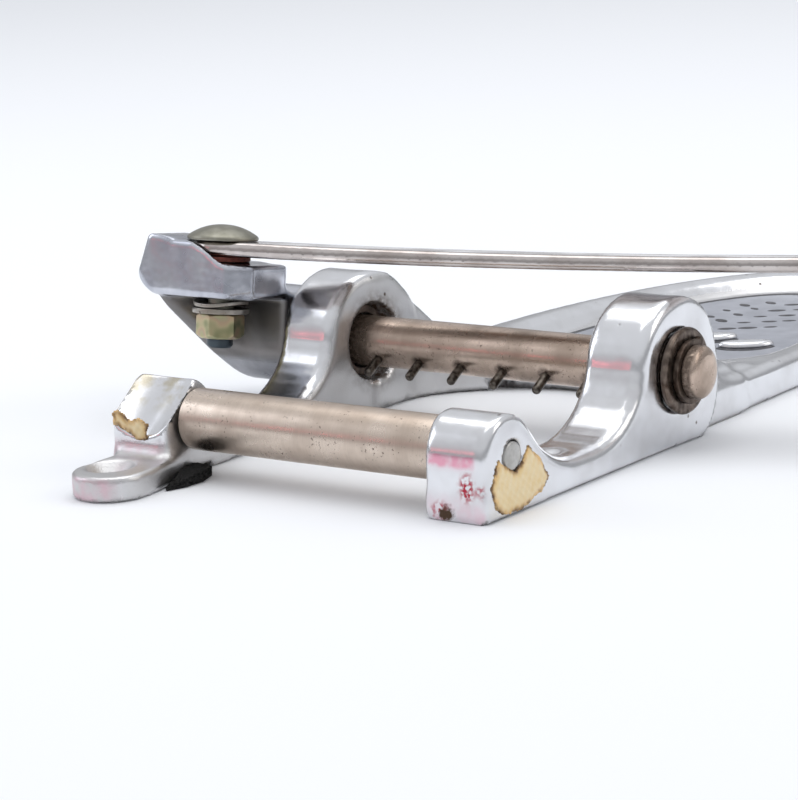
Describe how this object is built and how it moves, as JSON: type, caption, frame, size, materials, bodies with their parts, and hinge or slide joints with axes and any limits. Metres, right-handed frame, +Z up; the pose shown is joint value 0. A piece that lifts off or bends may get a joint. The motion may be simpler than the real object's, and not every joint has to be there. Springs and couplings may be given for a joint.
{
  "type": "guitar vibrato tailpiece",
  "caption": "Horseshoe vibrato tailpiece for a guitar: cast frame, roller tension bar, rocking shaft with string pins and a swivelling flat handle.",
  "frame": {"origin": "on the flat underside of the tail, on the centre line, 95 mm behind the rocking shaft's axis", "axes": "+Z up from the underside, +Y towards the tail, +X towards the bass strings, along the rocking shaft"},
  "size_m": [0.1927, 0.2382, 0.0416],
  "materials": {
    "polished_aluminium": "polished casting with fine wear",
    "brushed_nickel": "brushed steel with worn nickel plating",
    "bright_steel": "turned",
    "dark_steel": "dull oxide",
    "rusty_steel": "thin brown rust",
    "zinc_yellow": "yellow passivated zinc plating",
    "domed_nickel": "dull nickel plating",
    "bronze": "sintered",
    "red_fibre": "vulcanised fibre",
    "black_felt": "pressed felt"
  },
  "bodies": {
    "base": {"frame": "polished_aluminium", "felt_pad_right": "black_felt", "felt_pad_left": "black_felt", "tension_axle": "bright_steel", "bearing_cup_right": "rusty_steel", "bearing_cup_left": "rusty_steel"},
    "roller": {"tension_bar": "brushed_nickel", "tension_bush_left": "bronze", "tension_bush_right": "bronze"},
    "rocker": {"main_shaft": "brushed_nickel", "string_pin_1": "dark_steel", "string_pin_2": "dark_steel", "string_pin_3": "dark_steel", "string_pin_4": "dark_steel", "string_pin_5": "dark_steel", "string_pin_6": "dark_steel", "thrust_washer_right": "rusty_steel", "thrust_washer_left": "rusty_steel", "retaining_ring": "rusty_steel", "arm_bracket": "polished_aluminium", "bracket_screw_1": "dark_steel", "bracket_screw_2": "dark_steel", "pivot_bolt": "domed_nickel", "fibre_washer": "red_fibre", "spring_washer": "bright_steel", "flat_washer": "bright_steel", "pivot_nut": "zinc_yellow"},
    "handle": {"arm": "polished_aluminium"},
    "cage_left": {"needle_cage_left": "bright_steel"},
    "cage_right": {"needle_cage_right": "bright_steel"}
  },
  "joints": [
    {"name": "bar_roll", "type": "hinge", "parent": "base", "child": "roller", "pos_m": [0, -0.1554, 0.0111], "axis": [1, 0, 0], "continuous": true},
    {"name": "shaft_rock", "type": "hinge", "parent": "base", "child": "rocker", "pos_m": [0, -0.095, 0.0154], "axis": [1, 0, 0], "range_deg": [-6, 25]},
    {"name": "arm_swivel", "type": "hinge", "parent": "rocker", "child": "handle", "pos_m": [-0.057, -0.11431, 0.01811], "axis": [0, 0.1392, 0.9903], "range_deg": [-12, 80]},
    {"name": "cage_left_roll", "type": "hinge", "parent": "base", "child": "cage_left", "pos_m": [0, -0.095, 0.0154], "axis": [1, 0, 0], "range_deg": [-3, 12]},
    {"name": "cage_right_roll", "type": "hinge", "parent": "base", "child": "cage_right", "pos_m": [0, -0.095, 0.0154], "axis": [1, 0, 0], "range_deg": [-3, 12]}
  ],
  "couplings": [
    {"joint": "cage_left_roll", "follows": "shaft_rock", "ratio": 0.44},
    {"joint": "cage_right_roll", "follows": "shaft_rock", "ratio": 0.44}
  ]
}
